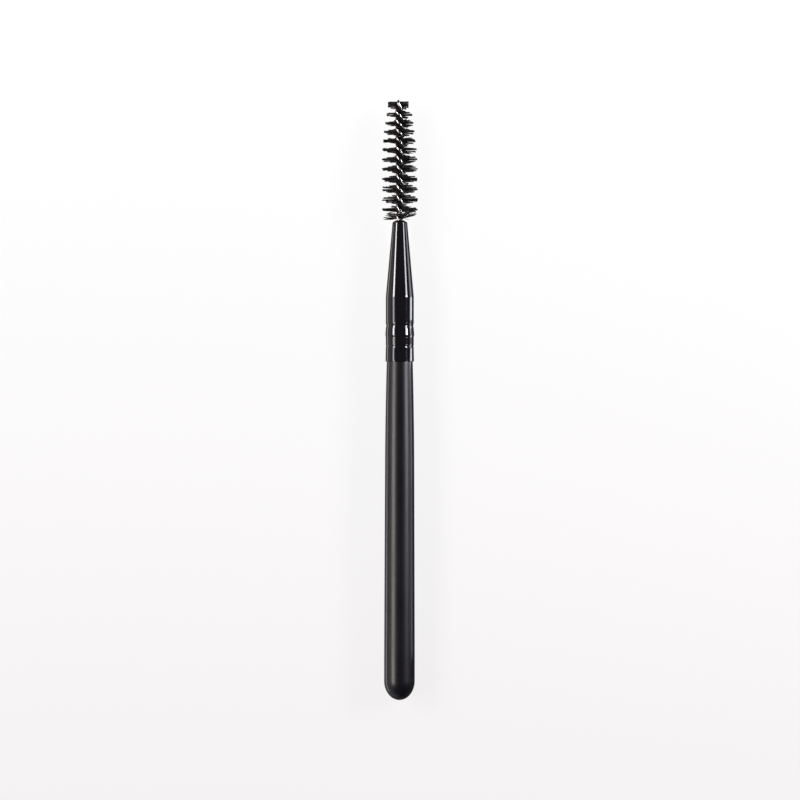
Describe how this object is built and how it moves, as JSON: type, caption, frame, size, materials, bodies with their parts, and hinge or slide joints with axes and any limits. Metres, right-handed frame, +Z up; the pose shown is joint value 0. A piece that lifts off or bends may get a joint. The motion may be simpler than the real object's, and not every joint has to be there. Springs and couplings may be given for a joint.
{
  "type": "eyebrow brush",
  "caption": "Slim eyebrow brush: a spiral of black filaments in a twisted steel wire, held by a crimped gloss ferrule on a turned, round-ended handle.",
  "frame": {"origin": "centre of the footprint, on the surface that the brush lies on", "axes": "+Y along the brush towards the bristle tip, +Z up; the brush's axis rises about 0.4 degrees towards the tip, because the bristled head is thicker than the handle"},
  "size_m": [0.009, 0.15, 0.0092],
  "materials": {
    "handle_lacquer": "satin black lacquer",
    "ferrule_gloss": "gloss black",
    "wire": "bright drawn wire",
    "filament": "black nylon",
    "glue": "set clear resin"
  },
  "bodies": {
    "root": {"handle": "handle_lacquer", "ferrule": "ferrule_gloss", "wire_core": "wire", "bristles": "filament", "adhesive": "glue"}
  },
  "joints": []
}
